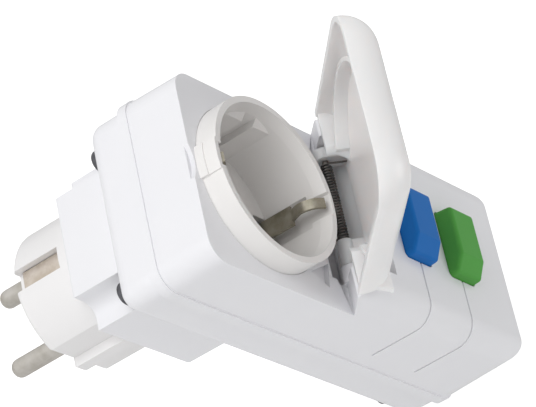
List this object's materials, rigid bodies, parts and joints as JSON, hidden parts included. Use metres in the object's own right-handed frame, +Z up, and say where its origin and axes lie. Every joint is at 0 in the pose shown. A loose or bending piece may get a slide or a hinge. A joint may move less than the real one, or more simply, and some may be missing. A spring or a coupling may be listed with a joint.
{
  "type": "rcd adapter plug",
  "caption": "Plug-in residual current adapter: earthed two-pin plug behind, earthed socket with sprung lid in front, test and reset buttons above.",
  "frame": {"origin": "centre of the block's rear face, on the plug's axis, where the round plug starts and the block meets the wall socket", "axes": "+Y along the plug's pins into the wall, +Z up towards the buttons, +X to the right seen from the front"},
  "size_m": [0.0512, 0.1222, 0.114],
  "materials": {
    "white_plastic": "satin warm white moulding",
    "lid_plastic": "satin warm white moulding",
    "zinc_steel": "zinc plated",
    "nickel": "nickel plated, drawn",
    "nickel_brass": "nickel plated brass, slightly tarnished",
    "brass": "bright brass",
    "core_iron": "dark coated core",
    "board_laminate": "green laminate",
    "coil_copper": "enamelled copper winding",
    "inner_plastic": "dark inner moulding",
    "resistor_body": "lacquered",
    "spring_steel": "dark oiled spring steel",
    "blue_plastic": "blue moulding",
    "green_plastic": "green moulding",
    "contact_silver": "silver faced"
  },
  "bodies": {
    "housing": {"front_shell": "white_plastic", "back_shell": "white_plastic", "socket_insert": "white_plastic", "plug_body": "white_plastic", "housing_screws": "zinc_steel", "plug_pin_left": "nickel", "plug_pin_right": "nickel", "plug_earth_strip_upper": "brass", "plug_earth_strip_lower": "brass", "socket_earth_bracket": "nickel_brass", "socket_contact_left": "brass", "socket_contact_right": "brass", "supply_bar_left": "brass", "supply_bar_right": "brass", "load_bar_left": "brass", "load_bar_right": "brass", "transformer_core": "core_iron", "transformer_winding": "coil_copper", "circuit_board": "board_laminate", "trip_coil": "coil_copper", "trip_bobbin": "inner_plastic", "test_resistor": "resistor_body", "test_contact_strip": "brass", "hinge_pin": "zinc_steel", "lid_spring": "spring_steel", "test_return_spring": "spring_steel", "reset_return_spring": "spring_steel"},
    "lid": {"lid_shell": "lid_plastic"},
    "test_button": {"test_button": "blue_plastic"},
    "reset_button": {"reset_button": "green_plastic", "reset_plunger": "inner_plastic", "contact_bridges": "contact_silver"}
  },
  "joints": [
    {"name": "lid_hinge", "type": "hinge", "parent": "housing", "child": "lid", "pos_m": [0, -0.04456, 0.0284], "axis": [-1, 0, 0], "range_deg": [-44, 30], "deforming": ["lid_spring"]},
    {"name": "test_press", "type": "slide", "parent": "housing", "child": "test_button", "axis": [0, 1, 0], "range_m": [0, 0.0022], "stiffness_N_per_m": 250, "springref_m": -0.001, "deforming": ["test_return_spring"]},
    {"name": "reset_press", "type": "slide", "parent": "housing", "child": "reset_button", "axis": [0, 1, 0], "range_m": [0, 0.0022], "stiffness_N_per_m": 250, "springref_m": -0.001, "deforming": ["reset_return_spring"]}
  ]
}
